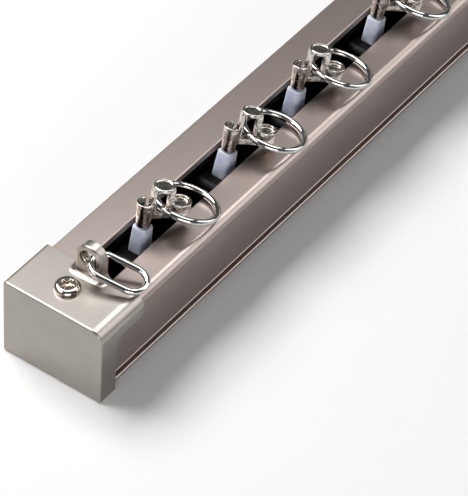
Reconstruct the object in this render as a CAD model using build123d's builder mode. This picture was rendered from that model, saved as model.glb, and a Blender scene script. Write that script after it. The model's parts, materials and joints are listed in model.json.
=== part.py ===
"""Aluminium curtain track with die-cast end caps and swivelling ring runners.

The track lies on its back with the slot facing up. +X runs along the track, +Z is up.
The origin is the middle of the length, under the end caps. Sizes are millimetres.
"""
from build123d import *
from math import asin, cos, degrees, radians, sin
import os

os.makedirs("parts", exist_ok=True)

# Track extrusion
overall_length = 200.0
track_width = 25.0
track_height = 19.0
side_wall = 1.3
back_wall = 1.3
flange_thickness = 1.4
slot_width = 8.0
slot_lip_width = 1.2
slot_lip_depth = 0.6
front_corner_radius = 2.0
rear_corner_radius = 0.4
bracket_groove_depth = 1.5
bracket_groove_height = 2.4
bracket_lip_thickness = 0.8
groove_edge_radius = 0.35

# End caps
cap_wall = 0.9
cap_clearance = 0.1
cap_end_wall = 2.0
cap_skirt_length = 15.2
cap_band_length = 5.6
cap_skirt_drop = 5.3
cap_inner_bend_radius = 3.0
cap_outer_bend_radius = 2.0
cap_edge_radius = 0.5
lug_width = 7.0
lug_thickness = 2.6
lug_hole_diameter = 4.6
lug_hole_rise = 5.1
lug_blend_radius = 1.6
lug_edge_radius = 0.5

# Cap screws and the nuts that they draw up under the flanges
screw_diameter = 3.0
screw_length = 8.0
screw_head_diameter = 6.0
screw_head_height = 1.4
screw_head_rounding = 1.0
screw_inset = 7.0
screw_offset = 1.2
screw_hole_clearance = 0.15
screw_thread_clearance = 0.03
drive_slot_length = 3.2
drive_slot_width = 0.8
drive_slot_depth = 0.9
drive_slot_taper = 8
nut_length = 8.0
nut_width = 14.0
nut_thickness = 2.8

# Runner carriages, wheels and axles
runner_stations = (-67.6, -35.5, -8.1, 25.2, 56.5)
runner_leans = (8.0, 14.0, 11.0, 12.0, 8.0)
hook_turns = (0.0, -7.0, -4.0, -7.0, -6.0)
wheel_diameter = 13.8
wheel_width = 3.8
wheel_clearance = 0.3
wheel_hub_diameter = 5.0
wheel_rim_thickness = 1.6
wheel_web_recess = 0.8
wheel_rim_rounding = 0.4
axle_diameter = 2.0
axle_running_clearance = 0.05
axle_head_diameter = 3.4
axle_head_thickness = 0.5
carriage_length = 12.0
carriage_width = 6.4
carriage_above_axle = 5.5
carriage_below_axle = 4.5
carriage_corner_radius = 1.8
carriage_boss_diameter = 5.0
carriage_boss_height = 1.1
side_play = 0.2
press_clearance = 0.02

# Nylon neck and steel pivot pin
neck_width = 4.2
neck_top_width = 3.7
neck_corner_radius = 0.9
neck_rise = 1.6
pin_diameter = 1.6
pin_depth = 3.6
pin_head_diameter = 2.6
pin_head_thickness = 0.7
pin_head_play = 0.1

# Swivelling hook: post, arm, eye and round pad
hook_clearance = 0.3
pivot_clearance = 0.05
post_base_diameter = 3.3
post_top_diameter = 4.2
post_height = 6.3
post_recess_clearance = 0.2
post_recess_depth = 2.3
post_seam_width = 0.7
post_seam_depth = 2.4
post_seam_turn = 60.0
hook_heading = -37.0
arm_rise = 2.0
arm_thickness = 1.5
arm_width = 2.0
eye_reach = 6.3
eye_rise = 4.3
eye_bar = 0.9
eye_outer_bar = 1.2
eye_corner_radius = 1.2
button_diameter = 5.0
button_thickness = 0.8
button_edge_radius = 0.3
button_rim = 0.55
button_dish_depth = 0.25
pad_reach = 8.0
pad_diameter = 5.0
pad_thickness = 2.8
pad_lap = 0.4
pad_rim = 0.6
pad_dish_depth = 0.7

# Wire rings
wire_diameter = 1.6
ring_diameter = 16.0
ring_clearance = 0.4
eye_clearance = 0.4
ring_heading = -20.0
ring_hinge_reach = 3.6
loop_width = 8.6
loop_length = 14.6
loop_heading = -76.0

# How near a coordinate counts as the same when edges are picked
pick_margin = 0.01

# Places worked out from the sizes above
cap_reach = cap_wall + cap_clearance
track_bottom = cap_reach
track_top = track_bottom + track_height
track_length = overall_length - 2 * (cap_end_wall + cap_clearance)
channel_floor = track_bottom + back_wall
flange_underside = track_top - flange_thickness
groove_bottom = track_bottom + bracket_lip_thickness
groove_top = groove_bottom + bracket_groove_height
shoulder_top = groove_top + side_wall
cap_width = track_width + 2 * cap_reach
cap_height = track_height + 2 * cap_reach
cap_end = -overall_length / 2
axle_height = channel_floor + wheel_clearance + wheel_diameter / 2
boss_face = carriage_width / 2 + carriage_boss_height
wheel_inner_face = boss_face + side_play
wheel_outer_face = wheel_inner_face + wheel_width
axle_end = wheel_outer_face + side_play + axle_head_thickness
carriage_top = axle_height + carriage_above_axle
carriage_bottom = axle_height - carriage_below_axle
neck_top = track_top + neck_rise
post_base = neck_top + hook_clearance
post_top = post_base + post_height
arm_bottom = post_base + arm_rise
arm_top = arm_bottom + arm_thickness
wire_radius = wire_diameter / 2
hinge_height = arm_top + eye_clearance + wire_radius
ring_radius = (ring_diameter - wire_diameter) / 2
screw_place = (cap_end + screw_inset, screw_offset)
lug_middle = cap_end + cap_skirt_length - lug_thickness / 2
lug_front = lug_middle - lug_thickness / 2
lug_hole_height = cap_height + lug_hole_rise
loop_hinge_height = lug_hole_height - lug_hole_diameter / 2 + ring_clearance + wire_radius
loop_radius = (loop_width - wire_diameter) / 2
loop_span = loop_length - wire_diameter
loop_drop = loop_hinge_height - (cap_height + ring_clearance + wire_radius)
loop_tilt = degrees(asin(loop_drop / loop_span))


def heading_vector(angle):
    """Level unit vector at an angle from +X, counter-clockwise seen from above."""
    return Vector(cos(radians(angle)), sin(radians(angle)), 0)


def tilted_plane(origin, heading, tilt):
    """Plane at origin whose X axis runs along the heading and falls by the tilt angle."""
    along = heading_vector(heading) * cos(radians(tilt)) - Vector(0, 0, sin(radians(tilt)))
    across = heading_vector(heading + 90)
    return Plane(origin=origin, x_dir=along, z_dir=along.cross(across))


def save(part, name):
    """Label a finished piece and write its STEP file."""
    part.label = name
    export_step(part, f"parts/{name}.step")


# One aluminium extrusion: outer skin, channel, slot with thickened lips, bracket grooves
with BuildPart() as track:
    with BuildSketch(Plane.YZ.offset(-track_length / 2)) as profile:
        with Locations((0, track_bottom + track_height / 2)):
            Rectangle(track_width, track_height)
        slot_side_corners = profile.vertices().group_by(Axis.Y)[-1].sort_by(Axis.X)
        fillet(slot_side_corners[0], front_corner_radius)
        fillet(profile.vertices().group_by(Axis.Y)[-1].sort_by(Axis.X)[-1], rear_corner_radius)
        channel_height = flange_underside - shoulder_top
        with Locations((0, shoulder_top + channel_height / 2)):
            Rectangle(track_width - 2 * side_wall, channel_height, mode=Mode.SUBTRACT)
        lower_width = track_width - 2 * (bracket_groove_depth + side_wall)
        with Locations((0, (channel_floor + flange_underside) / 2)):
            Rectangle(lower_width, flange_underside - channel_floor, mode=Mode.SUBTRACT)
        with Locations((0, track_top - flange_thickness / 2)):
            Rectangle(slot_width, flange_thickness, mode=Mode.SUBTRACT)
        lip_height = flange_thickness + slot_lip_depth
        lip_offset = (slot_width + slot_lip_width) / 2
        with Locations((-lip_offset, track_top - lip_height / 2), (lip_offset, track_top - lip_height / 2)):
            Rectangle(slot_lip_width, lip_height)
        groove_offset = (track_width - bracket_groove_depth) / 2
        groove_middle = (groove_bottom + groove_top) / 2
        with Locations((-groove_offset, groove_middle), (groove_offset, groove_middle)):
            Rectangle(bracket_groove_depth, bracket_groove_height, mode=Mode.SUBTRACT)
        groove_corners = profile.vertices().filter_by_position(
            Axis.Y, track_bottom - pick_margin, groove_top + pick_margin
        )
        outer_corners = [v for v in groove_corners if abs(v.X) > track_width / 2 - pick_margin]
        fillet(outer_corners, groove_edge_radius)
    extrude(amount=track_length)
save(track.part, "track")

# Die-cast cap: cup over the track's end, long skirt on the slot side, eye lug for a ring
with BuildPart() as end_cap:
    with BuildSketch(Plane.YZ.offset(cap_end)) as cap_outline:
        with Locations((0, cap_height / 2)):
            Rectangle(cap_width, cap_height)
        round_corner = cap_outline.vertices().group_by(Axis.Y)[-1].sort_by(Axis.X)[0]
        fillet(round_corner, front_corner_radius + cap_reach)
        square_corner = cap_outline.vertices().group_by(Axis.Y)[-1].sort_by(Axis.X)[-1]
        fillet(square_corner, rear_corner_radius + cap_edge_radius)
        fillet(cap_outline.vertices().group_by(Axis.Y)[0], cap_edge_radius)
    extrude(amount=cap_skirt_length)
    fillet(end_cap.faces().sort_by(Axis.X)[0].edges(), cap_edge_radius)
    with BuildSketch(Plane.YZ.offset(cap_end + cap_end_wall)) as cap_cavity:
        with Locations((0, cap_height / 2)):
            Rectangle(track_width + 2 * cap_clearance, track_height + 2 * cap_clearance)
        cavity_corners = cap_cavity.vertices().group_by(Axis.Y)[-1].sort_by(Axis.X)
        fillet(cavity_corners[0], front_corner_radius + cap_clearance)
        fillet(cap_cavity.vertices().group_by(Axis.Y)[-1].sort_by(Axis.X)[-1], rear_corner_radius)
    extrude(amount=cap_skirt_length, mode=Mode.SUBTRACT)
    # Below the long skirt only a narrow band goes on round the sides and the back
    with BuildSketch(Plane.XZ.offset(-cap_width)) as skirt_trim:
        trim_length = cap_skirt_length - cap_band_length
        trim_height = cap_height - cap_skirt_drop
        with Locations((cap_end + cap_band_length + trim_length, trim_height / 2 - cap_height / 2)):
            Rectangle(2 * trim_length, trim_height + cap_height)
        fillet(skirt_trim.vertices().group_by(Axis.Y)[-1].sort_by(Axis.X)[0], cap_inner_bend_radius)
    extrude(amount=2 * cap_width, mode=Mode.SUBTRACT)
    skirt_end = cap_end + cap_skirt_length
    skirt_tips = end_cap.edges().filter_by(Axis.Y).filter_by_position(
        Axis.X, skirt_end - pick_margin, skirt_end + pick_margin
    ).filter_by_position(Axis.Z, trim_height - pick_margin, trim_height + pick_margin)
    fillet(skirt_tips, cap_outer_bend_radius)
    with BuildSketch(Plane.YZ.offset(lug_front)):
        with Locations((0, lug_hole_height)):
            Circle(lug_width / 2)
        with Locations((0, (lug_hole_height + cap_height) / 2)):
            Rectangle(lug_width, lug_hole_height - cap_height)
    extrude(amount=lug_thickness)
    lug_outline = end_cap.faces().filter_by(Axis.X).filter_by_position(
        Axis.X, lug_front - pick_margin, lug_front + pick_margin
    ).sort_by(Axis.Z)[-1].edges()
    upright_edges = [edge for edge in lug_outline if edge.center().Z > cap_height + pick_margin]
    fillet(upright_edges, lug_edge_radius)
    lug_foot = end_cap.edges().filter_by_position(
        Axis.Z, cap_height - pick_margin, cap_height + pick_margin
    ).filter_by_position(
        Axis.X, lug_front - pick_margin, skirt_end - pick_margin
    ).filter_by_position(Axis.Y, -lug_width / 2 - pick_margin, lug_width / 2 + pick_margin)
    fillet(lug_foot, lug_blend_radius)
    with Locations(Plane(origin=(lug_middle, 0, lug_hole_height), z_dir=(1, 0, 0))):
        Cylinder(lug_hole_diameter / 2, 2 * lug_thickness, mode=Mode.SUBTRACT)
    with BuildSketch(Plane.XY.offset(cap_height)):
        with Locations(screw_place):
            Circle(screw_diameter / 2 + screw_hole_clearance)
    extrude(amount=-2 * cap_wall, mode=Mode.SUBTRACT)

# Pan-head machine screw with a cross drive
with BuildPart() as cap_screw:
    with BuildSketch(Plane.XY.offset(cap_height)):
        with Locations(screw_place):
            Circle(screw_head_diameter / 2)
    extrude(amount=screw_head_height)
    fillet(cap_screw.faces().sort_by(Axis.Z)[-1].edges(), screw_head_rounding)
    with BuildSketch(Plane.XY.offset(cap_height + screw_head_height)):
        with Locations(screw_place):
            Rectangle(drive_slot_length, drive_slot_width)
            Rectangle(drive_slot_width, drive_slot_length)
    extrude(amount=-drive_slot_depth, taper=drive_slot_taper, mode=Mode.SUBTRACT)
    with BuildSketch(Plane.XY.offset(cap_height)):
        with Locations(screw_place):
            Circle(screw_diameter / 2)
    extrude(amount=-screw_length)

# Clamp nut inside the channel, drawn up against the slot's lips
nut_top = flange_underside - slot_lip_depth
with BuildPart() as clamp_nut:
    with BuildSketch(Plane.XY.offset(nut_top)):
        with Locations(screw_place):
            RectangleRounded(nut_length, nut_width, cap_edge_radius)
            Circle(screw_diameter / 2 + screw_thread_clearance, mode=Mode.SUBTRACT)
    extrude(amount=-nut_thickness)

# Long wire loop through the cap's lug: two straight sides and two round ends
loop_plane = tilted_plane((lug_middle, 0, loop_hinge_height), loop_heading, loop_tilt)
with BuildPart() as cap_ring:
    with BuildLine(loop_plane) as loop_path:
        near_side = Line((loop_radius, loop_radius), (loop_span - loop_radius, loop_radius))
        far_end = ThreePointArc(near_side @ 1, (loop_span, 0), (loop_span - loop_radius, -loop_radius))
        far_side = Line(far_end @ 1, (loop_radius, -loop_radius))
        ThreePointArc(far_side @ 1, (0, 0), near_side @ 0)
    with BuildSketch(Plane(origin=near_side @ 0, z_dir=near_side % 0)):
        Circle(wire_radius)
    sweep(path=loop_path.wires()[0])

for name, piece in (
    ("end_cap", end_cap),
    ("cap_screw", cap_screw),
    ("clamp_nut", clamp_nut),
    ("cap_ring", cap_ring),
):
    with BuildPart() as far_piece:
        mirror(piece.part, about=Plane.YZ)
    save(piece.part, f"{name}_near")
    save(far_piece.part, f"{name}_far")

# Runner carriage: block between the wheels, with a boss for the axle on each side
with BuildPart() as carriage:
    with BuildSketch(Plane.XZ.offset(-carriage_width / 2)):
        with Locations((0, (carriage_top + carriage_bottom) / 2)):
            RectangleRounded(carriage_length, carriage_top - carriage_bottom, carriage_corner_radius)
    extrude(amount=carriage_width)
    with Locations(Plane(origin=(0, 0, axle_height), z_dir=(0, 1, 0))):
        Cylinder(carriage_boss_diameter / 2, 2 * boss_face)
        Cylinder(axle_diameter / 2 + press_clearance, 4 * boss_face, mode=Mode.SUBTRACT)
    with BuildSketch(Plane.XY.offset(carriage_top)):
        Circle(pin_diameter / 2 + press_clearance)
    extrude(amount=-pin_depth, mode=Mode.SUBTRACT)

# Axle: steel pin with a riveted head outside each wheel
with BuildPart() as axle:
    with BuildSketch(Plane.XZ.offset(-axle_end)):
        with Locations((0, axle_height)):
            Circle(axle_diameter / 2)
    extrude(amount=2 * axle_end)
    for side in (-1, 1):
        with BuildSketch(Plane.XZ.offset(-side * axle_end)):
            with Locations((0, axle_height)):
                Circle(axle_head_diameter / 2)
        extrude(amount=side * axle_head_thickness)

# Wheel: hub, thin web and rim, turned about the axle
with BuildPart() as wheel_rear:
    with BuildSketch(Plane.YZ) as wheel_section:
        with Locations((wheel_inner_face + wheel_width / 2, axle_height + wheel_diameter / 4)):
            Rectangle(wheel_width, wheel_diameter / 2)
        fillet(wheel_section.vertices().group_by(Axis.Y)[-1], wheel_rim_rounding)
        bore = axle_diameter / 2 + axle_running_clearance
        with Locations((wheel_inner_face + wheel_width / 2, axle_height + bore / 2)):
            Rectangle(2 * wheel_width, bore, mode=Mode.SUBTRACT)
        web_height = wheel_diameter / 2 - wheel_rim_thickness - wheel_hub_diameter / 2
        web_middle = axle_height + wheel_hub_diameter / 2 + web_height / 2
        for face in (wheel_inner_face, wheel_outer_face):
            with Locations((face, web_middle)):
                Rectangle(2 * wheel_web_recess, web_height, mode=Mode.SUBTRACT)
    revolve(axis=Axis((0, 0, axle_height), (0, 1, 0)))

with BuildPart() as wheel_front:
    mirror(wheel_rear.part, about=Plane.XZ)

# Neck: tapered nylon sleeve that stands in the slot round the pivot pin
with BuildPart() as neck:
    with BuildSketch(Plane.XY.offset(carriage_top)):
        RectangleRounded(neck_width, neck_width, neck_corner_radius)
    with BuildSketch(Plane.XY.offset(neck_top)):
        RectangleRounded(neck_top_width, neck_top_width, neck_corner_radius)
    loft()
    with Locations((0, 0, neck_top)):
        Cylinder(pin_diameter / 2 + press_clearance, 4 * (neck_top - carriage_top), mode=Mode.SUBTRACT)

# Pivot pin: pressed into the carriage, its head holds the hook's post down
pin_bottom = carriage_top - pin_depth + press_clearance
head_top = post_top - post_recess_depth + pin_head_play + pin_head_thickness
head_bottom = head_top - pin_head_thickness
with BuildPart() as pin:
    with BuildSketch(Plane.XY.offset(pin_bottom)):
        Circle(pin_diameter / 2)
    extrude(amount=head_top - pin_bottom)
    with BuildSketch(Plane.XY.offset(head_bottom)):
        Circle(pin_head_diameter / 2)
    extrude(amount=pin_head_thickness)
    fillet(pin.faces().sort_by(Axis.Z)[-1].edges(), pin_head_thickness / 2)

# Hook, cast in one: slotted post, arm, upright eye under a round button, and dished pad
hook_along = heading_vector(hook_heading)
hook_plane = Plane(origin=(0, 0, 0), x_dir=hook_along, z_dir=heading_vector(hook_heading - 90))
eye_left = post_top_diameter / 2 - eye_bar
eye_top = post_top + eye_rise
eye_middle = (eye_left + eye_reach) / 2
pad_bottom = arm_top - pad_lap
with BuildPart() as hook:
    with BuildSketch(Plane.XY.offset(post_base)):
        Circle(post_base_diameter / 2)
    with BuildSketch(Plane.XY.offset(post_top)):
        Circle(post_top_diameter / 2)
    loft()
    with BuildSketch(hook_plane.offset(-arm_width / 2)) as eye_outline:
        with Locations((eye_middle, (arm_bottom + eye_top) / 2)):
            Rectangle(eye_reach - eye_left, eye_top - arm_bottom)
        fillet(eye_outline.vertices(), eye_corner_radius)
        with Locations((pad_reach / 2, (arm_bottom + arm_top) / 2)):
            Rectangle(pad_reach, arm_thickness)
        fillet(eye_outline.vertices().group_by(Axis.Y)[0].sort_by(Axis.X)[-1], eye_corner_radius)
        hole_left = eye_left + eye_bar
        hole_right = eye_reach - eye_outer_bar
        hole_top = eye_top - eye_bar
        with Locations(((hole_left + hole_right) / 2, (arm_top + hole_top) / 2)):
            Rectangle(hole_right - hole_left, hole_top - arm_top, mode=Mode.SUBTRACT)
    extrude(amount=arm_width)
    with BuildSketch(Plane.XY.offset(eye_top - button_thickness)):
        with Locations(hook_along * eye_middle):
            Circle(button_diameter / 2)
    extrude(amount=button_thickness)
    fillet(hook.edges().group_by(Axis.Z)[-1], button_edge_radius)
    with BuildSketch(Plane.XY.offset(eye_top)):
        with Locations(hook_along * eye_middle):
            Circle(button_diameter / 2 - button_rim)
    extrude(amount=-button_dish_depth, mode=Mode.SUBTRACT)
    with BuildSketch(Plane.XY.offset(pad_bottom)):
        with Locations(hook_along * pad_reach):
            Circle(pad_diameter / 2)
    extrude(amount=pad_thickness)
    with BuildSketch(Plane.XY.offset(pad_bottom + pad_thickness)):
        with Locations(hook_along * pad_reach):
            Circle(pad_diameter / 2 - pad_rim)
    extrude(amount=-pad_dish_depth, mode=Mode.SUBTRACT)
    with BuildSketch(Plane.XY.offset(post_base)):
        Circle(pin_diameter / 2 + pivot_clearance)
    extrude(amount=post_height, mode=Mode.SUBTRACT)
    with BuildSketch(Plane.XY.offset(post_top)):
        Circle(pin_head_diameter / 2 + post_recess_clearance)
    extrude(amount=-post_recess_depth, mode=Mode.SUBTRACT)
    with BuildSketch(Plane.XY.offset(post_top)):
        with Locations(Location((0, 0), hook_heading + post_seam_turn)):
            with Locations((post_top_diameter / 2, 0)):
                Rectangle(post_top_diameter, post_seam_width)
    extrude(amount=-post_seam_depth, mode=Mode.SUBTRACT)


def make_ring(hinge, heading):
    """Round wire ring hung at a hinge point and tilted so that its far side lies on the track."""
    drop = hinge.Z - (track_top + ring_clearance + wire_radius)
    tilt = degrees(asin(drop / (2 * ring_radius)))
    with BuildPart() as ring:
        with Locations(tilted_plane(hinge, heading, tilt)):
            with Locations((ring_radius, 0, 0)):
                Torus(ring_radius, wire_radius)
    return ring.part


# Each runner leans about its axle, its neck's top stays over its station and its hook has its own turn
hinge_place = Location(hook_along * ring_hinge_reach + Vector(0, 0, hinge_height))
leaning_pieces = {"carriage": carriage, "axle": axle, "neck": neck, "pin": pin}
wheels = {"wheel_front": wheel_front, "wheel_rear": wheel_rear}
for number, station in enumerate(runner_stations, start=1):
    lean = runner_leans[number - 1]
    turn = hook_turns[number - 1]
    axle_station = station - (neck_top - axle_height) * sin(radians(lean))
    leaning = Location((axle_station, 0, axle_height), (0, lean, 0)) * Location((0, 0, -axle_height))
    turned = leaning * Location((0, 0, 0), (0, 0, turn))
    for name, wheel in wheels.items():
        save(wheel.part.moved(Location((axle_station, 0, 0))), f"runner_{number}_{name}")
    for name, piece in leaning_pieces.items():
        save(piece.part.moved(leaning), f"runner_{number}_{name}")
    save(hook.part.moved(turned), f"runner_{number}_hook")
    save(make_ring((turned * hinge_place).position, ring_heading + turn), f"runner_{number}_ring")
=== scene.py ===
# %% [markdown]
# A curtain track with ring runners
#
# One aluminium track lies on its back, so its slot faces up and every part of it can be seen. Die-cast
# caps close its ends, and small runners carry wire rings along the slot.
#
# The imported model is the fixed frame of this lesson. It already holds each piece at its real size and
# place, and it knows what moves. This script adds the finish of each surface, and rebuilds the pieces
# whose fine shape matters.

# %% Load the fixed frame
import json
import math

import bmesh
import bpy
from mathutils import Matrix, Vector


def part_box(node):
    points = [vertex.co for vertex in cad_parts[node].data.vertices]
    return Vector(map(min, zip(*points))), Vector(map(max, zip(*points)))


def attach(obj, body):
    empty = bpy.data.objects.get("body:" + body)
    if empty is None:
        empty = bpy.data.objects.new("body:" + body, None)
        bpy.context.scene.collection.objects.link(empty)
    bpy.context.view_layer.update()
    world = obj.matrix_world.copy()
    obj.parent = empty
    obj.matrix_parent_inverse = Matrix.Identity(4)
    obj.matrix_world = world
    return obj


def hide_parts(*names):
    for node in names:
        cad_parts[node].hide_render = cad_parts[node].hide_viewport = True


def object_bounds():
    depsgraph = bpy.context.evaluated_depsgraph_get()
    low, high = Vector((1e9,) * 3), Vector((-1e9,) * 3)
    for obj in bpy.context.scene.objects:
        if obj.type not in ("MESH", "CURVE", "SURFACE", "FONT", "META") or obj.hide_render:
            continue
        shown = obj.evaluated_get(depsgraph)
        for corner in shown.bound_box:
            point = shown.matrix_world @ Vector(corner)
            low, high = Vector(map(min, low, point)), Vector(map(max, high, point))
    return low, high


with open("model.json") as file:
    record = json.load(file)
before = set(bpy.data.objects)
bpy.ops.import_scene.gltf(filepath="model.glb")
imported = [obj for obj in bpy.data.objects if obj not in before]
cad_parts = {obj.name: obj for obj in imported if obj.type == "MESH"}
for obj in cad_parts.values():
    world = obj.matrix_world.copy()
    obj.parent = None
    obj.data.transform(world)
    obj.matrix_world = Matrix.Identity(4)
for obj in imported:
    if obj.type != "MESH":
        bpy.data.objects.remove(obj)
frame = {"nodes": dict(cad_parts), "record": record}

MM = 0.001
nodes = frame["nodes"]
cad_low, cad_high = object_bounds()
cad_size = cad_high - cad_low
print(f"{len(nodes)} pieces, {cad_size.x / MM:.0f} mm long and {cad_size.y / MM:.0f} mm wide")

# %% [markdown]
# Three small helpers
#
# A colour is easiest to choose as a hex code from a colour picker, but the shaders work with linear
# light. One function makes that change. A second one adds a node to a tree, with its settings, values
# and links, so that each material below reads as a list of what it is made of. A third one starts an
# empty material.


# %% Colours
def linear(hex_code):
    """Linear RGBA of an sRGB hex code such as "c8bfb8"."""
    channels = [int(hex_code[start:start + 2], 16) / 255 for start in (0, 2, 4)]
    return [c / 12.92 if c <= 0.04045 else ((c + 0.055) / 1.055) ** 2.4 for c in channels] + [1.0]


print(f"the middle grey 808080 gives back {linear('808080')[0]:.2f} of the light")


# %% Nodes and empty finishes
def add(tree, kind, inputs=None, **settings):
    """Adds a node, sets its properties, and gives its inputs a value or a link."""
    node = tree.nodes.new(kind)
    for name, value in settings.items():
        setattr(node, name, value)
    for name, value in (inputs or {}).items():
        if isinstance(value, bpy.types.NodeSocket):
            tree.links.new(value, node.inputs[name])
        else:
            node.inputs[name].default_value = value
    return node


def new_finish(name, **shader_inputs):
    """An empty material with one Principled shader, its tree, and that shader."""
    finish = bpy.data.materials.new(name)
    finish.use_nodes = True
    tree = finish.node_tree
    shader = tree.nodes["Principled BSDF"]
    for words, value in shader_inputs.items():
        shader.inputs[words.replace("_", " ")].default_value = value
    return finish, tree, shader


# %% [markdown]
# Satin anodised aluminium
#
# The track is pushed through a steel die and then anodised in a champagne tint. The die leaves faint
# lines along the length, and the etch before anodising leaves a fine pearly grain. To the eye that is a
# soft metal whose highlights stretch along the track.
#
# A picture of such a profile could be wrapped round the track, but it would blur close up and repeat
# along the length. A noise has no seam: squeezed across and stretched along X, it draws the die lines.
# Real die lines are about 0.05 mm apart, too fine to show here, so they are drawn 0.35 mm apart and
# faint. The pearly grain, really some hundredths of a millimetre, is drawn 0.25 mm wide.
#
# Hardly any light gets into the channel, so the same material is painted near-black there as painted
# shade. Two boxes tell where that painted shade goes: the wide upper part between the side walls, and
# the narrower part between the bracket grooves. A third box holds the two walls of the slot. The
# runners' necks rub them, so they are rougher and mirror less.


# %% Where the channel and the slot are
CHANNEL_FLOOR = 2.2 * MM
SHOULDER_TOP = 5.45 * MM
LIP_UNDERSIDE = 17.95 * MM
WIDE_HALF = 11.3 * MM
NARROW_HALF = 9.8 * MM
SLOT_WALL_HALF = 4.02 * MM


def between(tree, value, low, high):
    """One where the value lies between the two limits, otherwise zero."""
    above = add(tree, "ShaderNodeMath", {0: value, 1: low}, operation="GREATER_THAN").outputs[0]
    below = add(tree, "ShaderNodeMath", {0: value, 1: high}, operation="LESS_THAN").outputs[0]
    return add(tree, "ShaderNodeMath", {0: above, 1: below}, operation="MULTIPLY").outputs[0]


def inside_box(tree, where, half_width, low, high):
    """One inside a box that runs along the whole track, otherwise zero."""
    across = between(tree, where["Y"], -half_width, half_width)
    upright = between(tree, where["Z"], low, high)
    return add(tree, "ShaderNodeMath", {0: across, 1: upright}, operation="MULTIPLY").outputs[0]


# Where the channel's painted shade goes: the wide box and the narrow box together.
def painted_shade_in_channel(tree, where):
    wide = inside_box(tree, where, WIDE_HALF, SHOULDER_TOP, LIP_UNDERSIDE)
    narrow = inside_box(tree, where, NARROW_HALF, CHANNEL_FLOOR, LIP_UNDERSIDE)
    return add(tree, "ShaderNodeMath", {0: wide, 1: narrow}, operation="MAXIMUM").outputs[0]


channel_height = LIP_UNDERSIDE - CHANNEL_FLOOR
print(f"the channel is {2 * WIDE_HALF / MM:.1f} mm wide and {channel_height / MM:.2f} mm high")

# %% Anodised aluminium
DIE_LINE_SPACING = 0.35 * MM
DIE_LINE_LENGTH = 70 * MM
PEARL_GRAIN = 0.25 * MM
SLOT_WALL_ROUGHNESS = 0.6
SLOT_WALL_METAL = 0.25


def anodised_aluminium():
    finish, tree, shader = new_finish("satin_anodised_aluminium", Metallic=1.0)
    place = add(tree, "ShaderNodeTexCoord").outputs["Object"]
    where = add(tree, "ShaderNodeSeparateXYZ", {"Vector": place}).outputs
    along = add(tree, "ShaderNodeMapping", {
        "Vector": place,
        "Scale": (1.0 / DIE_LINE_LENGTH, 1.0 / DIE_LINE_SPACING, 1.0 / DIE_LINE_SPACING)})
    lines = add(tree, "ShaderNodeTexNoise", {
        "Vector": along.outputs["Vector"], "Scale": 1.0, "Detail": 2.0})
    pearl = add(tree, "ShaderNodeTexNoise", {"Vector": place, "Scale": 1.0 / PEARL_GRAIN, "Detail": 1.0})
    tint = add(tree, "ShaderNodeValToRGB", {"Fac": lines.outputs["Fac"]})
    tint.color_ramp.elements[0].position = 0.3
    tint.color_ramp.elements[0].color = linear("9c908b")
    tint.color_ramp.elements[1].position = 0.7
    tint.color_ramp.elements[1].color = linear("9f938e")
    # Painted shade: the colour turns near-black 141312 inside the channel, where little light gets in.
    colour = add(tree, "ShaderNodeMix", {
        "Factor": painted_shade_in_channel(tree, where), 6: tint.outputs["Color"], 7: linear("141312")},
        data_type="RGBA")
    rough = add(tree, "ShaderNodeMapRange", {"Value": lines.outputs["Fac"], "To Min": 0.29, "To Max": 0.32})
    slot_wall = inside_box(tree, where, SLOT_WALL_HALF, LIP_UNDERSIDE, cad_high.z)
    rubbed = add(tree, "ShaderNodeMix", {
        "Factor": slot_wall, "A": rough.outputs["Result"], "B": SLOT_WALL_ROUGHNESS})
    dulled = add(tree, "ShaderNodeMix", {"Factor": slot_wall, "A": 1.0, "B": SLOT_WALL_METAL})
    height = add(tree, "ShaderNodeMath", {
        0: lines.outputs["Fac"], 1: pearl.outputs["Fac"]}, operation="ADD")
    bump = add(tree, "ShaderNodeBump", {
        "Height": height.outputs[0], "Strength": 0.05, "Distance": 0.01 * MM})
    tree.links.new(colour.outputs[2], shader.inputs["Base Color"])
    tree.links.new(rubbed.outputs["Result"], shader.inputs["Roughness"])
    tree.links.new(dulled.outputs["Result"], shader.inputs["Metallic"])
    tree.links.new(bump.outputs["Normal"], shader.inputs["Normal"])
    return finish


print(f"{cad_size.y / DIE_LINE_SPACING:.0f} die lines lie side by side across the track")

# %% [markdown]
# Plated metal
#
# The caps are cast in zinc, blasted with glass beads and plated with nickel. The plating follows the
# blasted skin, so it looks soft and even, a little lighter and greyer than the track. The hooks are
# cast too, but only tumbled. The screws are turned, the wire is drawn and polished, and the pins, axles
# and clamp nuts are plainly zinc plated.
#
# To a shader these are all one thing: wide patches of two close tints, and a fine grain that bends the
# reflections. So one function makes them all, and each finish says how wide and how deep its grain is
# and how rough it is between the grains. Grain of this kind is 0.1 mm wide or less; it is drawn 0.2 to
# 0.3 mm wide, so that a close view still shows it. Only the dimples of the cast hooks, 0.45 mm wide, are
# drawn as they are.


# %% Plated metal
BEAD_GRAIN = 0.2 * MM
FINE_GRAIN = 0.3 * MM
HOOK_GRAIN = 0.45 * MM
HOOK_PATCH = 1.0 * MM
EVEN_PATCH = 6.0 * MM
GLOSS_SPREAD = 0.15


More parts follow.
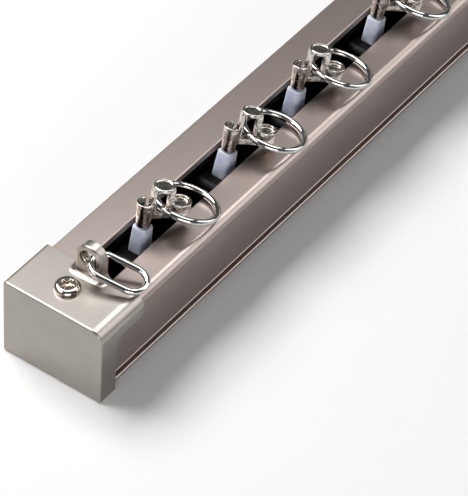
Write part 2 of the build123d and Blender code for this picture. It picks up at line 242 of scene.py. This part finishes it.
def plated_metal(name, dark, light, roughness, grain, depth, patch=EVEN_PATCH):
    """Metal in patches of two close tints, with grain of the given width and depth."""
    finish, tree, shader = new_finish(name, Metallic=1.0)
    place = add(tree, "ShaderNodeTexCoord").outputs["Object"]
    fine = add(tree, "ShaderNodeTexNoise", {"Vector": place, "Scale": 1.0 / grain, "Detail": 2.0})
    broad = add(tree, "ShaderNodeTexNoise", {"Vector": place, "Scale": 1.0 / patch})
    tint = add(tree, "ShaderNodeValToRGB", {"Fac": broad.outputs["Fac"]})
    tint.color_ramp.elements[0].position = 0.35
    tint.color_ramp.elements[0].color = linear(dark)
    tint.color_ramp.elements[1].position = 0.65
    tint.color_ramp.elements[1].color = linear(light)
    rough = add(tree, "ShaderNodeMapRange", {
        "Value": fine.outputs["Fac"],
        "To Min": roughness * (1 - GLOSS_SPREAD), "To Max": roughness * (1 + GLOSS_SPREAD)})
    bump = add(tree, "ShaderNodeBump", {"Height": fine.outputs["Fac"], "Strength": 0.3, "Distance": depth})
    tree.links.new(tint.outputs["Color"], shader.inputs["Base Color"])
    tree.links.new(rough.outputs["Result"], shader.inputs["Roughness"])
    tree.links.new(bump.outputs["Normal"], shader.inputs["Normal"])
    return finish


# %% Nickel, wire and zinc
def satin_nickel_casting():
    """Caps: blasted and plated, so the shine is soft and even."""
    return plated_metal("satin_nickel_casting", "9f9993", "a39d97", 0.30, BEAD_GRAIN, 0.004 * MM)


def nickel_casting():
    """Hooks: tumbled and plated. The dimples of the casting stay, so they glitter in patches."""
    return plated_metal(
        "bright_nickel_casting", "a39d97", "dcd6cf", 0.17, HOOK_GRAIN, 0.09 * MM, patch=HOOK_PATCH)


def nickel_screw():
    """Screws and cut threads: smooth under the plating, so they mirror sharply and look warm."""
    return plated_metal("bright_nickel_screw", "c6bcb2", "d0c7be", 0.12, FINE_GRAIN, 0.002 * MM)


def polished_wire():
    """Rings and loops: polished steel, close to a plain mirror and cooler than the nickel."""
    return plated_metal("polished_steel_wire", "c2c0be", "ccc9c7", 0.06, FINE_GRAIN, 0.001 * MM)


def zinc_plated_steel():
    """Pins, axles and clamp nuts: a dull bluish grey."""
    return plated_metal("zinc_plated_steel", "8b8d90", "9b9da0", 0.35, FINE_GRAIN, 0.004 * MM)


print(f"the hooks' dimples are {HOOK_GRAIN / BEAD_GRAIN:.2f} times as wide as the caps' grain")

# %% [markdown]
# Nylon and acetal
#
# The neck that stands in the slot is natural nylon: milky, bluish, and lit from inside. A plain pale
# colour would look like chalk. With subsurface light, what enters at one place leaves at another, and
# the shade on the neck's corners softens as in the real plastic. The carriage and wheels are black
# acetal, a dense slippery plastic with a dull sheen, of which little shows down in the channel.
#
# Both are moulded, so they have no grain, only a faint cloud in tint and gloss. It is drawn 1.6 mm wide
# in the nylon and 0.5 mm wide in the acetal, about as wide as real flow marks are.

# %% Plastics
NYLON_CLOUD = 1.6 * MM
NYLON_LIGHT_REACH = 1.2 * MM
ACETAL_CLOUD = 0.5 * MM


def natural_nylon():
    finish, tree, shader = new_finish(
        "natural_nylon", IOR=1.53, Subsurface_Weight=1.0, Subsurface_Radius=(0.9, 0.9, 1.0),
        Subsurface_Scale=NYLON_LIGHT_REACH)
    place = add(tree, "ShaderNodeTexCoord").outputs["Object"]
    cloud = add(tree, "ShaderNodeTexNoise", {"Vector": place, "Scale": 1.0 / NYLON_CLOUD})
    tint = add(tree, "ShaderNodeValToRGB", {"Fac": cloud.outputs["Fac"]})
    tint.color_ramp.elements[0].position = 0.3
    tint.color_ramp.elements[0].color = linear("d6dcff")
    tint.color_ramp.elements[1].position = 0.7
    tint.color_ramp.elements[1].color = linear("e4e8ff")
    rough = add(tree, "ShaderNodeMapRange", {"Value": cloud.outputs["Fac"], "To Min": 0.3, "To Max": 0.42})
    tree.links.new(tint.outputs["Color"], shader.inputs["Base Color"])
    tree.links.new(rough.outputs["Result"], shader.inputs["Roughness"])
    return finish


def black_acetal():
    finish, tree, shader = new_finish("black_acetal", IOR=1.48, Specular_IOR_Level=0.1)
    place = add(tree, "ShaderNodeTexCoord").outputs["Object"]
    cloud = add(tree, "ShaderNodeTexNoise", {"Vector": place, "Scale": 1.0 / ACETAL_CLOUD})
    tint = add(tree, "ShaderNodeValToRGB", {"Fac": cloud.outputs["Fac"]})
    tint.color_ramp.elements[0].color = linear("040405")
    tint.color_ramp.elements[1].color = linear("0a0a0b")
    rough = add(tree, "ShaderNodeMapRange", {"Value": cloud.outputs["Fac"], "To Min": 0.35, "To Max": 0.5})
    tree.links.new(tint.outputs["Color"], shader.inputs["Base Color"])
    tree.links.new(rough.outputs["Result"], shader.inputs["Roughness"])
    return finish


print(f"light gets about {NYLON_LIGHT_REACH / MM:.1f} mm deep into the nylon")

# %% Give every piece of the frame its finish
finishes = {
    "anodised_aluminium": anodised_aluminium(),
    "satin_nickel_casting": satin_nickel_casting(),
    "nickel_casting": nickel_casting(),
    "nickel_screw": nickel_screw(),
    "polished_wire": polished_wire(),
    "zinc_plated_steel": zinc_plated_steel(),
    "natural_nylon": natural_nylon(),
    "black_acetal": black_acetal(),
}
for piece in nodes.values():
    for material_slot in piece.material_slots:
        material_slot.material = finishes[material_slot.material.name.split(".")[0]]
print("finished", len(nodes), "pieces in", len(finishes), "finishes")

# %% [markdown]
# Pieces that take another's place
#
# A frame piece is never changed itself. A finer mesh takes its place instead, rides on the same body and
# has the same finish. Modifiers and node trees are turned into a plain mesh first, because only that
# leaves Blender as it looks here.

# %% Take the place of a frame piece
body_of_node = {
    node: body for body, members in frame["record"]["behaviour"]["bodies"].items() for node in members}
slot_of_node = {row["node"]: row["material_slot"] for row in frame["record"]["subparts"]}


def evaluated_mesh(carrier):
    """The plain mesh that an object's modifiers make. The carrier is thrown away."""
    bpy.context.scene.collection.objects.link(carrier)
    mesh = bpy.data.meshes.new_from_object(carrier.evaluated_get(bpy.context.evaluated_depsgraph_get()))
    bpy.data.objects.remove(carrier)
    return mesh


def stand_in(node, mesh, name):
    """Puts a mesh in the place of a frame piece, on the same body and with the same finish."""
    mesh.materials.clear()
    mesh.materials.append(finishes[slot_of_node[node]])
    piece = bpy.data.objects.new(name, mesh)
    bpy.context.scene.collection.objects.link(piece)
    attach(piece, body_of_node[node])
    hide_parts(node)
    print(piece.name, len(mesh.polygons), "faces")


# %% [markdown]
# Rounded edges
#
# No real edge is perfectly sharp. The saw, the tumbling drum and the plating leave a small round on
# each, and that round catches a thin line of light. It tells the eye that the piece is metal.
#
# The rounds could be drawn edge by edge, or a shader could fake them, but then the outline would stay
# sharp. A Bevel modifier makes real ones, on all edges whose faces meet at more than 35 degrees. It
# works on a copy of the frame piece whose loose triangles have been joined again. Weighted normals keep
# the wide faces flat to the light. The edges of the extrusion are the softest, as the etch eats them.

# %% Rounded copies
SHARP_ANGLE = math.radians(35)
FLAT_ANGLE = math.radians(0.5)
SAME_CORNER = 0.002 * MM
EDGE_ROUNDS = {
    "track": 0.35 * MM,
    "end_cap_near": 0.12 * MM,
    "end_cap_far": 0.12 * MM,
    "cap_screw_near": 0.07 * MM,
    "cap_screw_far": 0.07 * MM,
}
EDGE_ROUNDS.update({node: 0.15 * MM for node in nodes if node.endswith("_neck")})


def joined_copy(node):
    """A copy of a frame piece's mesh with its split corners and flat facets joined again."""
    shape = bmesh.new()
    shape.from_mesh(nodes[node].data)
    bmesh.ops.remove_doubles(shape, verts=shape.verts, dist=SAME_CORNER)
    bmesh.ops.dissolve_limit(shape, angle_limit=FLAT_ANGLE, verts=shape.verts, edges=shape.edges)
    mesh = bpy.data.meshes.new("joined_copy")
    shape.to_mesh(mesh)
    shape.free()
    return mesh


def rounded(node, width):
    carrier = bpy.data.objects.new("carrier", joined_copy(node))
    carrier.data.shade_smooth()
    edges = carrier.modifiers.new("edges", "BEVEL")
    edges.width = width
    edges.segments = 2
    edges.limit_method = "ANGLE"
    edges.angle_limit = SHARP_ANGLE
    edges.use_clamp_overlap = False
    flats = carrier.modifiers.new("flats", "WEIGHTED_NORMAL")
    flats.keep_sharp = True
    stand_in(node, evaluated_mesh(carrier), f"{node}_rounded")


for node, width in EDGE_ROUNDS.items():
    rounded(node, width)

# %% [markdown]
# Cast hooks
#
# The hooks are small rough castings, tumbled in a drum until their edges are blunt and then plated. A
# bevel would keep them too crisp, and lumps sculpted by hand would have to be made again whenever the
# hook's size changes. So three modifiers do the drum's work. A fine Remesh turns the shape into even
# small squares, a Smooth modifier wears the edges down, and a Displace modifier adds the lumps.

# %% Tumbled hooks
HOOK_SQUARE = 0.11 * MM
HOOK_WEAR_PASSES = 4
HOOK_LUMP_WIDTH = 0.7 * MM
HOOK_LUMP_HEIGHT = 0.08 * MM

lumps = bpy.data.textures.new("casting_lumps", "CLOUDS")
lumps.noise_scale = HOOK_LUMP_WIDTH


def tumbled(node):
    carrier = bpy.data.objects.new("carrier", nodes[node].data.copy())
    squares = carrier.modifiers.new("squares", "REMESH")
    squares.mode = "VOXEL"
    squares.voxel_size = HOOK_SQUARE
    wear = carrier.modifiers.new("wear", "SMOOTH")
    wear.factor = 0.5
    wear.iterations = HOOK_WEAR_PASSES
    skin = carrier.modifiers.new("skin", "DISPLACE")
    skin.texture = lumps
    skin.texture_coords = "LOCAL"
    skin.strength = HOOK_LUMP_HEIGHT
    mesh = evaluated_mesh(carrier)
    mesh.shade_smooth()
    stand_in(node, mesh, f"{node}_tumbled")


for node in nodes:
    if node.endswith("_hook"):
        tumbled(node)

# %% [markdown]
# Wire rings
#
# A ring is a piece of steel wire bent round a mandrel until its ends meet, so a fine seam stays. The
# long loop in each cap's lug is made the same way, round two pins. Both follow one rule: a circle as
# wide as the loop, whose two halves are pulled apart until the loop has its length. Where length and
# width are alike they stay together.
#
# A torus would do for the rings, but not for the loops, and it has no seam. Geometry Nodes suit a shape
# that follows a path. The path is cut into steps as long as the seam, opened by one step, and swept with
# a round section. It starts at the end that hangs in the eye, so the seam hides there.


# %% A tree with named inputs
def new_geometry_tree(name, *sizes):
    """A Geometry Nodes tree with named sizes, a finish input and one geometry output."""
    tree = bpy.data.node_groups.new(name, "GeometryNodeTree")
    for words in sizes:
        tree.interface.new_socket(words, in_out="INPUT", socket_type="NodeSocketFloat")
    tree.interface.new_socket("Finish", in_out="INPUT", socket_type="NodeSocketMaterial")
    tree.interface.new_socket("Shape", in_out="OUTPUT", socket_type="NodeSocketGeometry")
    return tree


def finish_tree(tree, shape, finish):
    """Ends a tree as the export needs it: real geometry that carries its material."""
    smooth = add(tree, "GeometryNodeSetShadeSmooth", {"Geometry": shape})
    real = add(tree, "GeometryNodeRealizeInstances", {"Geometry": smooth.outputs["Geometry"]})
    coated = add(tree, "GeometryNodeSetMaterial", {
        "Geometry": real.outputs["Geometry"], "Material": finish})
    add(tree, "NodeGroupOutput", {"Shape": coated.outputs["Geometry"]})


# %% A wire loop as a node tree
WIRE_SIDES = 24
PATH_POINTS = 96


def wire_loop_tree():
    tree = new_geometry_tree("wire_loop", "Length", "Width", "Wire", "Seam")
    given = add(tree, "NodeGroupInput").outputs
    bend = add(tree, "ShaderNodeMath", {0: given["Width"], 1: 0.5}, operation="MULTIPLY")
    circle = add(tree, "GeometryNodeCurvePrimitiveCircle", {
        "Resolution": PATH_POINTS, "Radius": bend.outputs[0]})
    point = add(tree, "GeometryNodeInputPosition").outputs["Position"]
    place = add(tree, "ShaderNodeSeparateXYZ", {"Vector": point})
    side = add(tree, "ShaderNodeMath", {0: place.outputs["X"]}, operation="SIGN")
    spare = add(tree, "ShaderNodeMath", {0: given["Length"], 1: given["Width"]}, operation="SUBTRACT")
    half = add(tree, "ShaderNodeMath", {0: spare.outputs[0], 1: 0.5}, operation="MULTIPLY")
    pull = add(tree, "ShaderNodeMath", {0: side.outputs[0], 1: half.outputs[0]}, operation="MULTIPLY")
    offset = add(tree, "ShaderNodeCombineXYZ", {"X": pull.outputs[0]})
    path = add(tree, "GeometryNodeSetPosition", {
        "Geometry": circle.outputs["Curve"], "Offset": offset.outputs["Vector"]}).outputs["Geometry"]
    reach = add(tree, "GeometryNodeCurveLength", {"Curve": path})
    steps = add(tree, "ShaderNodeMath", {0: reach.outputs["Length"], 1: given["Seam"]}, operation="DIVIDE")
    even = add(tree, "GeometryNodeResampleCurve", {"Curve": path, "Count": steps.outputs[0]})
    opened = add(tree, "GeometryNodeSetSplineCyclic", {"Geometry": even.outputs["Curve"], "Cyclic": False})
    thickness = add(tree, "ShaderNodeMath", {0: given["Wire"], 1: 0.5}, operation="MULTIPLY")
    section = add(tree, "GeometryNodeCurvePrimitiveCircle", {
        "Resolution": WIRE_SIDES, "Radius": thickness.outputs[0]})
    swept = add(tree, "GeometryNodeCurveToMesh", {
        "Curve": opened.outputs["Geometry"], "Profile Curve": section.outputs["Curve"], "Fill Caps": True})
    finish_tree(tree, swept.outputs["Mesh"], given["Finish"])
    return tree


wire_loop = wire_loop_tree()
print("the wire loop's tree has", len(wire_loop.nodes), "nodes")


# %% Run a tree
def grow(tree, finish, **sizes):
    """Runs a tree with these sizes and gives back its plain mesh."""
    carrier = bpy.data.objects.new("carrier", bpy.data.meshes.new("carrier"))
    growth = carrier.modifiers.new("growth", "NODES")
    growth.node_group = tree
    values = {**sizes, "Finish": finish}
    for socket in tree.interface.items_tree:
        if socket.in_out == "INPUT":
            growth[socket.identifier] = values[socket.name]
    return evaluated_mesh(carrier)


# %% [markdown]
# Bending every ring
#
# The sizes are measured on the frame's own ring, so they are written only once, in the solid model. The
# swing joint says where the wire hangs and which way it lies.

# %% Bend every ring
SEAM = 0.1 * MM
swing_of_body = {joint["child"]: joint for joint in frame["record"]["behaviour"]["joints"]}


def extent(points, direction):
    reaches = [point.dot(direction) for point in points]
    return max(reaches) - min(reaches)


def bent_wire(node):
    swing = swing_of_body[body_of_node[node]]
    hinge = Vector(swing["pos_m"])
    across = Vector(swing["axis"]).normalized()
    points = [vertex.co for vertex in nodes[node].data.vertices]
    middle = sum(points, Vector()) / len(points)
    along = (hinge - middle).normalized()
    through = along.cross(across)
    wire = extent(points, through)
    mesh = grow(wire_loop, finishes[slot_of_node[node]], Length=2 * (hinge - middle).length,
                Width=extent(points, across) - wire, Wire=wire, Seam=SEAM)
    mesh.transform(Matrix.Translation(middle) @ Matrix((along, across, through)).transposed().to_4x4())
    stand_in(node, mesh, f"{node}_bent_wire")


for node in nodes:
    if "ring" in node:
        bent_wire(node)

# %% [markdown]
# Threaded lugs
#
# The hole in each cap's lug has a coarse thread. It is cut after the casting, so its ridges are bright
# and glitter behind the loop. Grooves could be cut into the lug with a Boolean, but that is slow and
# leaves ragged faces. A ridge is a helix, so a second small tree winds a thin section along a spiral
# that lines the hole. The lug's sizes are those of the solid model.

# %% A thread as a node tree
SPIRAL_POINTS = 48
RIDGE_SIDES = 8


def thread_tree():
    tree = new_geometry_tree("thread", "Radius", "Depth", "Turns", "Ridge")
    given = add(tree, "NodeGroupInput").outputs
    helix = add(tree, "GeometryNodeCurveSpiral", {
        "Resolution": SPIRAL_POINTS, "Rotations": given["Turns"], "Start Radius": given["Radius"],
        "End Radius": given["Radius"], "Height": given["Depth"]})
    section = add(tree, "GeometryNodeCurvePrimitiveCircle", {
        "Resolution": RIDGE_SIDES, "Radius": given["Ridge"]})
    swept = add(tree, "GeometryNodeCurveToMesh", {
        "Curve": helix.outputs["Curve"], "Profile Curve": section.outputs["Curve"], "Fill Caps": True})
    finish_tree(tree, swept.outputs["Mesh"], given["Finish"])
    return tree


thread = thread_tree()
print("the thread's tree has", len(thread.nodes), "nodes")

# %% Wind a thread into each lug
LUG_RADIUS = 3.5 * MM
LUG_THICKNESS = 2.6 * MM
LUG_HOLE_RADIUS = 2.3 * MM
THREAD_PITCH = 0.65 * MM
RIDGE_RADIUS = 0.24 * MM
thread_depth = LUG_THICKNESS - THREAD_PITCH

lug_starts = {"near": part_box("end_cap_near")[1].x - LUG_THICKNESS, "far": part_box("end_cap_far")[0].x}
for end, lug_start in lug_starts.items():
    cap_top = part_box(f"end_cap_{end}")[1].z
    ridges = grow(thread, finishes["nickel_screw"], Radius=LUG_HOLE_RADIUS, Depth=thread_depth,
                  Turns=thread_depth / THREAD_PITCH, Ridge=RIDGE_RADIUS)
    start = Vector((lug_start + THREAD_PITCH / 2, 0, cap_top - LUG_RADIUS))
    ridges.transform(Matrix.Translation(start) @ Matrix.Rotation(math.radians(90), 4, "Y"))
    piece = bpy.data.objects.new(f"lug_thread_{end}", ridges)
    bpy.context.scene.collection.objects.link(piece)
    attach(piece, "rail")
    print(piece.name, len(ridges.polygons), "faces")

# %% [markdown]
# Floor
#
# The track lies on a plain sheet of matte white paper, which mirrors no lamp and keeps the soft shadow
# in front of the track. The side of the track mirrors the paper just before its foot, so that shadow is
# also what makes the side look dark.
#
# Brighter lamps would turn the paper fully white, but they would bleach the track too. Light Path tells
# which rays come from the camera or from a mirror, and for those alone the paper glows a little.

# %% Paper floor
FLOOR_REACH = 1.5
FLOOR_GAP = 0.05 * MM
PAPER_GLOW = 0.04


def white_paper():
    finish, tree, shader = new_finish(
        "white_paper", Roughness=0.9, Base_Color=linear("fcfcfc"), Emission_Color=linear("ffffff"))
    ray = add(tree, "ShaderNodeLightPath").outputs
    mirrored = add(tree, "ShaderNodeMath", {
        0: ray["Is Glossy Ray"], 1: ray["Is Transmission Ray"]}, operation="MAXIMUM")
    seen = add(tree, "ShaderNodeMath", {
        0: ray["Is Camera Ray"], 1: mirrored.outputs[0]}, operation="MAXIMUM")
    glow = add(tree, "ShaderNodeMath", {0: seen.outputs[0], 1: PAPER_GLOW}, operation="MULTIPLY")
    tree.links.new(glow.outputs[0], shader.inputs["Emission Strength"])
    return finish


floor_height = cad_low.z - FLOOR_GAP
corners = [(x, y, floor_height) for x, y in ((-1, -1), (1, -1), (1, 1), (-1, 1))]
floor_mesh = bpy.data.meshes.new("floor")
floor_mesh.from_pydata([(x * FLOOR_REACH, y * FLOOR_REACH, z) for x, y, z in corners], [], [(0, 1, 2, 3)])
floor = bpy.data.objects.new("floor", floor_mesh)
floor.data.materials.append(white_paper())
bpy.context.scene.collection.objects.link(floor)
print(f"the paper lies {FLOOR_GAP / MM} mm under the track")

# %% [markdown]
# Light
#
# Metal shows what stands around it, so bare lamps would give it hard white spots. Soft panels do better,
# each with its own work, and what lies between them stays dark in the metal. The high sky panel stands
# above the place that the track's top mirrors. The satin metal blurs it into a broad glow, while the
# smooth pads and buttons of the hooks show the dark beside it. The key comes from behind, lights the top
# and leaves the front side in its own shade. The edge panel shows in the long edge of the near cap, and
# the corner panel draws the light band along the track's rounded front corner. The low panel stands at
# the front left and fills the necks, the posts and the cap's end.
#
# Three of the panels are there for the metal alone. They are hidden from dull surfaces, so that they
# bleach neither the paper nor the nylon.


# %% Soft panels
def soft_panel(name, azimuth, elevation, distance, width, height, radiance, lights_paper=True):
    """A rectangular lamp that faces the track. Its azimuth runs counter-clockwise from +X."""
    lamp = bpy.data.lights.new(name, "AREA")
    lamp.shape = "RECTANGLE"
    lamp.size = width
    lamp.size_y = height
    lamp.energy = radiance * math.pi * width * height
    panel = bpy.data.objects.new(name, lamp)
    a, e = math.radians(azimuth), math.radians(elevation)
    direction = Vector((math.cos(a) * math.cos(e), math.sin(a) * math.cos(e), math.sin(e)))
    panel.location = direction * distance
    panel.rotation_euler = direction.to_track_quat("Z", "Y").to_euler()
    panel.visible_diffuse = lights_paper
    bpy.context.scene.collection.objects.link(panel)
    print(f"{name} stands {elevation} degrees high and gives {lamp.energy:.1f} W")


soft_panel("high_sky_panel", azimuth=33, elevation=70.5, distance=1.3, width=1.5, height=0.8,
           radiance=4.4, lights_paper=False)
soft_panel("key_panel", azimuth=96, elevation=54, distance=1.2, width=0.9, height=0.6, radiance=8.8)
soft_panel("edge_panel", azimuth=152, elevation=38, distance=1.2, width=0.6, height=0.35,
           radiance=4.5, lights_paper=False)
soft_panel("corner_panel", azimuth=-43, elevation=27, distance=1.2, width=0.8, height=0.9,
           radiance=2.2, lights_paper=False)
soft_panel("low_panel", azimuth=-142, elevation=16, distance=1.2, width=0.8, height=0.45, radiance=4.6)

# %% A dim room round the panels
ROOM_LIGHT = 0.1

world = bpy.data.worlds.new("studio")
world.use_nodes = True
world.node_tree.nodes["Background"].inputs["Color"].default_value = linear("ffffff")
world.node_tree.nodes["Background"].inputs["Strength"].default_value = ROOM_LIGHT
bpy.context.scene.world = world
print(f"the room gives {ROOM_LIGHT:.0%} of white")

# %% [markdown]
# Camera
#
# The picture was taken from the cap's end, above and in front, with a long lens. The camera could be
# placed by hand until the picture fits, but nobody could say later why it stands there. Its place is
# given instead as a turn about the vertical, a height, a roll and a distance from a point on the track,
# so each number can be checked by eye. A small step to the side and down sets the track in the frame.

# %% Where the camera stands
VIEW_AZIMUTH = math.radians(-56.91)
VIEW_ELEVATION = math.radians(43.82)
VIEW_ROLL = math.radians(3.85)
VIEW_DISTANCE = 706.6 * MM
VIEW_TARGET = Vector((-40.0, 0.0, 10.0)) * MM
STEP_RIGHT = 4.54 * MM
STEP_UP = -11.62 * MM

back = Vector((
    math.sin(VIEW_AZIMUTH) * math.cos(VIEW_ELEVATION),
    -math.cos(VIEW_AZIMUTH) * math.cos(VIEW_ELEVATION),
    math.sin(VIEW_ELEVATION)))
level_right = Vector((math.cos(VIEW_AZIMUTH), math.sin(VIEW_AZIMUTH), 0.0))
level_up = back.cross(level_right)
right = level_right * math.cos(VIEW_ROLL) + level_up * math.sin(VIEW_ROLL)
up = level_up * math.cos(VIEW_ROLL) - level_right * math.sin(VIEW_ROLL)
view_place = VIEW_TARGET + right * STEP_RIGHT + up * STEP_UP + back * VIEW_DISTANCE
print("the camera stands at", [round(value / MM) for value in view_place], "mm")

# %% Lens
PICTURE_WIDTH = 468
PICTURE_HEIGHT = 496
FOCAL_PIXELS = 3095.3
SENSOR_WIDTH_MM = 36.0

lens = bpy.data.cameras.new("camera")
lens.sensor_fit = "AUTO"
lens.sensor_width = SENSOR_WIDTH_MM
lens.lens = SENSOR_WIDTH_MM * FOCAL_PIXELS / max(PICTURE_WIDTH, PICTURE_HEIGHT)
lens.clip_start = 10 * MM
camera = bpy.data.objects.new("camera", lens)
camera.matrix_world = Matrix.Translation(view_place) @ Matrix((right, up, back)).transposed().to_4x4()
bpy.context.scene.collection.objects.link(camera)
bpy.context.scene.camera = camera
bpy.context.scene.view_settings.view_transform = "Standard"
print(f"lens {lens.lens:.1f} mm")
